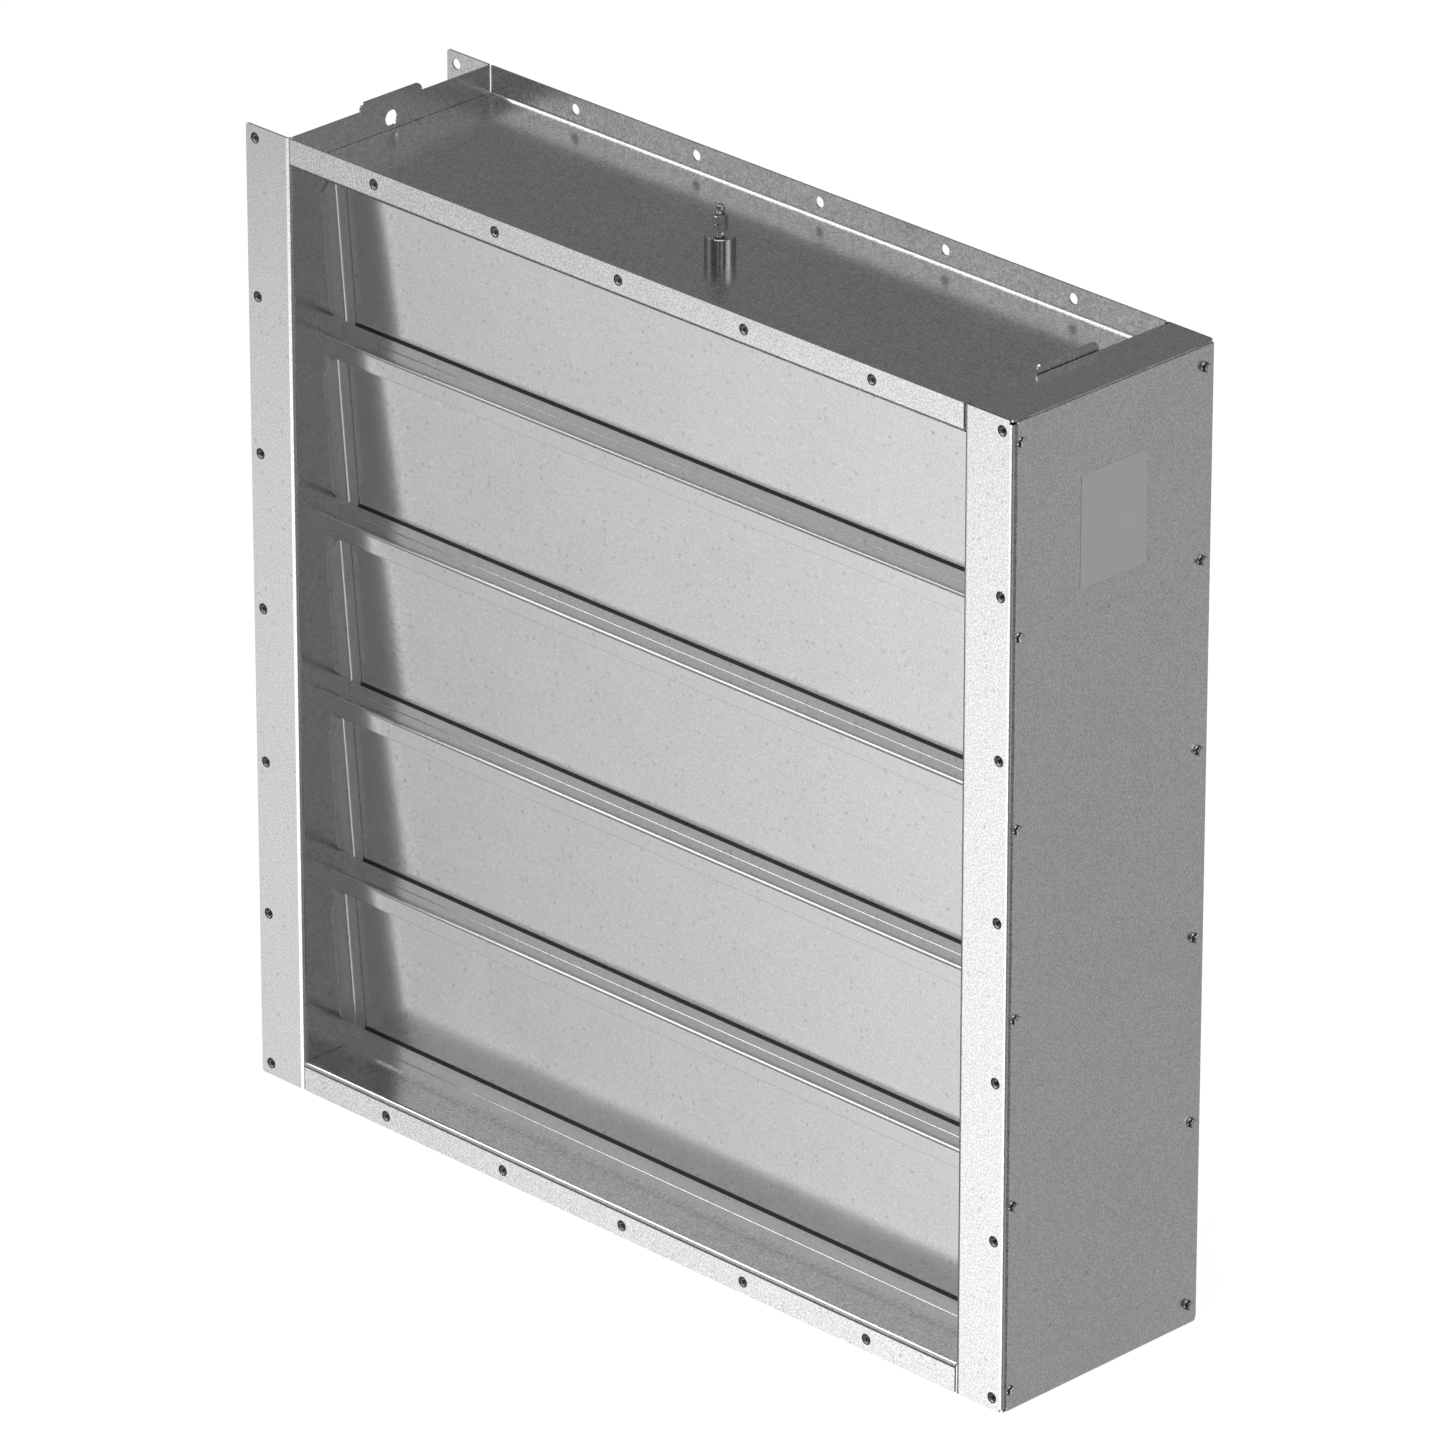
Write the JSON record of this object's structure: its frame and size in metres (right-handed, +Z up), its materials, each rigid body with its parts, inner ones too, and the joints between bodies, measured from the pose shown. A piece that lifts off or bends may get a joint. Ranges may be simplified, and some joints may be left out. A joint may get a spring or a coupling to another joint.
{
  "type": "multi-blade duct backdraft damper",
  "caption": "Square multi-blade backdraft damper: folded sheet frame with bolted flanges, blades hinged on shafts and shut by gravity, linkage case with a flat side cover.",
  "frame": {"origin": "centre of the inlet flange's face", "axes": "+X across the duct towards the linkage case, +Y along the air flow from inlet to outlet, +Z up"},
  "size_m": [1.0079, 0.265, 1.024],
  "materials": {
    "galvanised_sheet": "hot-dip galvanised, fine grain, satin",
    "blade_sheet": "hot-dip galvanised, fine grain, satin",
    "zinc_fastener": "zinc plated",
    "turned_boss": "turned",
    "bush": "sintered, matt",
    "link_steel": "drawn and zinc plated"
  },
  "bodies": {
    "frame": {"left_wall": "galvanised_sheet", "right_wall": "galvanised_sheet", "top_panel": "galvanised_sheet", "bottom_panel": "galvanised_sheet", "side_cover": "galvanised_sheet", "top_stop": "galvanised_sheet", "bottom_stop": "galvanised_sheet", "crossbar_1": "galvanised_sheet", "crossbar_2": "galvanised_sheet", "crossbar_3": "galvanised_sheet", "crossbar_4": "galvanised_sheet", "side_stop_left_1": "galvanised_sheet", "side_stop_right_1": "galvanised_sheet", "side_stop_left_2": "galvanised_sheet", "side_stop_right_2": "galvanised_sheet", "side_stop_left_3": "galvanised_sheet", "side_stop_right_3": "galvanised_sheet", "side_stop_left_4": "galvanised_sheet", "side_stop_right_4": "galvanised_sheet", "side_stop_left_5": "galvanised_sheet", "side_stop_right_5": "galvanised_sheet", "cover_screws": "zinc_fastener", "flange_nuts": "zinc_fastener", "earth_boss": "turned_boss", "earth_stud": "zinc_fastener", "earth_nuts": "zinc_fastener", "bushes_left": "bush", "bushes_right": "bush"},
    "blade_1_body": {"blade_1": "blade_sheet", "shaft_1": "link_steel", "blade_pins_1": "link_steel", "lever_1": "link_steel", "link_pin_1": "link_steel"},
    "blade_2_body": {"blade_2": "blade_sheet", "shaft_2": "link_steel", "blade_pins_2": "link_steel", "lever_2": "link_steel", "link_pin_2": "link_steel"},
    "blade_3_body": {"blade_3": "blade_sheet", "shaft_3": "link_steel", "blade_pins_3": "link_steel", "lever_3": "link_steel", "link_pin_3": "link_steel"},
    "blade_4_body": {"blade_4": "blade_sheet", "shaft_4": "link_steel", "blade_pins_4": "link_steel", "lever_4": "link_steel", "link_pin_4": "link_steel"},
    "blade_5_body": {"blade_5": "blade_sheet", "shaft_5": "link_steel", "blade_pins_5": "link_steel", "lever_5": "link_steel", "link_pin_5": "link_steel"},
    "link_bar_body": {"link_bar": "link_steel"}
  },
  "joints": [
    {"name": "blade_1_hinge", "type": "hinge", "parent": "frame", "child": "blade_1_body", "pos_m": [0, 0.0575, 0.46], "axis": [1, 0, 0], "range_deg": [0, 75]},
    {"name": "blade_2_hinge", "type": "hinge", "parent": "frame", "child": "blade_2_body", "pos_m": [0, 0.0575, 0.272], "axis": [1, 0, 0], "range_deg": [0, 75]},
    {"name": "blade_3_hinge", "type": "hinge", "parent": "frame", "child": "blade_3_body", "pos_m": [0, 0.0575, 0.084], "axis": [1, 0, 0], "range_deg": [0, 75]},
    {"name": "blade_4_hinge", "type": "hinge", "parent": "frame", "child": "blade_4_body", "pos_m": [0, 0.0575, -0.104], "axis": [1, 0, 0], "range_deg": [0, 75]},
    {"name": "blade_5_hinge", "type": "hinge", "parent": "frame", "child": "blade_5_body", "pos_m": [0, 0.0575, -0.292], "axis": [1, 0, 0], "range_deg": [0, 75]},
    {"name": "link_bar_hinge", "type": "hinge", "parent": "blade_3_body", "child": "link_bar_body", "pos_m": [0.46, 0.08699, 0.06335], "axis": [1, 0, 0], "range_deg": [-75, 0]}
  ],
  "couplings": [
    {"joint": "blade_1_hinge", "follows": "blade_3_hinge", "ratio": 1},
    {"joint": "blade_2_hinge", "follows": "blade_3_hinge", "ratio": 1},
    {"joint": "blade_4_hinge", "follows": "blade_3_hinge", "ratio": 1},
    {"joint": "blade_5_hinge", "follows": "blade_3_hinge", "ratio": 1},
    {"joint": "link_bar_hinge", "follows": "blade_3_hinge", "ratio": -1}
  ]
}
